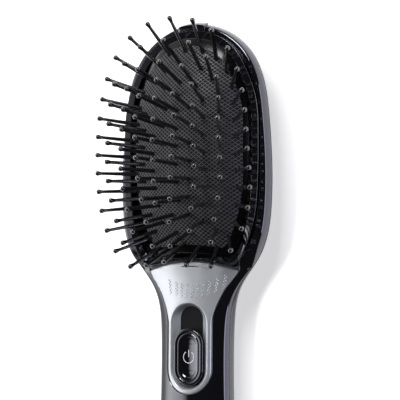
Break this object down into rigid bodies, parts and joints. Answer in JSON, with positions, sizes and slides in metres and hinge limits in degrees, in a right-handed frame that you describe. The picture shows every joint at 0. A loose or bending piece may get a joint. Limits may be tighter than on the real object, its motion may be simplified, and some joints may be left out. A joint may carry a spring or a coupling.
{
  "type": "ionic_styling_brush",
  "caption": "Battery-powered ionic styling brush with a domed rubber cushion of ball-tipped pins in a lift-out pad, a silver face plate and a sliding power switch on a slim gloss black handle",
  "frame": {"origin": "centre of the flat resting face on the back of the head, on the mirror plane", "axes": "+X to the right across the brush with the pins towards the viewer, +Y from the handle to the top of the head, +Z from the resting face towards the pin tips"},
  "size_m": [0.0746, 0.2463, 0.0485],
  "materials": {
    "gloss_shell": "polished piano-black plastic",
    "silver_plate": "satin silver coat on plastic",
    "dark_plastic": "fine matte dark plastic",
    "white_plastic": "plain moulded natural plastic",
    "spring_metal": "bright nickel-plated strip",
    "screw_steel": "zinc-plated steel",
    "board_green": "solder-masked board",
    "wire_cover": "smooth flexible wire cover",
    "cell_jacket": "smooth satin cell jacket",
    "cushion_rubber": "black rubber with a fine lattice relief",
    "pin_nylon": "smooth black nylon with rounded tips"
  },
  "bodies": {
    "handle": {"rear_housing": "gloss_shell", "front_housing": "gloss_shell", "face_plate": "silver_plate", "switch_tray": "dark_plastic", "slide_switch_case": "spring_metal", "circuit_board": "board_green", "ion_generator": "dark_plastic", "electrode_holder": "white_plastic", "emitter_needles": "spring_metal", "electrode_wires": "wire_cover", "power_wires": "wire_cover", "battery_wires": "wire_cover", "battery_tray": "dark_plastic", "battery_cell_left": "cell_jacket", "battery_cell_right": "cell_jacket", "battery_contacts": "spring_metal", "contact_bridge": "spring_metal", "housing_screws": "screw_steel", "tray_screws": "screw_steel"},
    "power_switch": {"switch_button": "gloss_shell", "switch_carrier": "white_plastic", "slide_switch_knob": "dark_plastic"},
    "battery_door": {"battery_door": "gloss_shell"},
    "pad": {"pad_frame": "gloss_shell", "pad_base": "dark_plastic", "cushion": "cushion_rubber", "pins_row_1": "pin_nylon", "pins_row_2": "pin_nylon", "pins_row_3": "pin_nylon", "pins_row_4": "pin_nylon", "pins_centre": "pin_nylon"}
  },
  "joints": [
    {"name": "switch_slide", "type": "slide", "parent": "handle", "child": "power_switch", "axis": [0, 1, 0], "range_m": [0, 0.008]},
    {"name": "door_slide", "type": "slide", "parent": "handle", "child": "battery_door", "axis": [0, -1, 0], "range_m": [0, 0.08]},
    {"name": "pad_lift", "type": "slide", "parent": "handle", "child": "pad", "axis": [0, 0, 1], "range_m": [0, 0.03]}
  ]
}
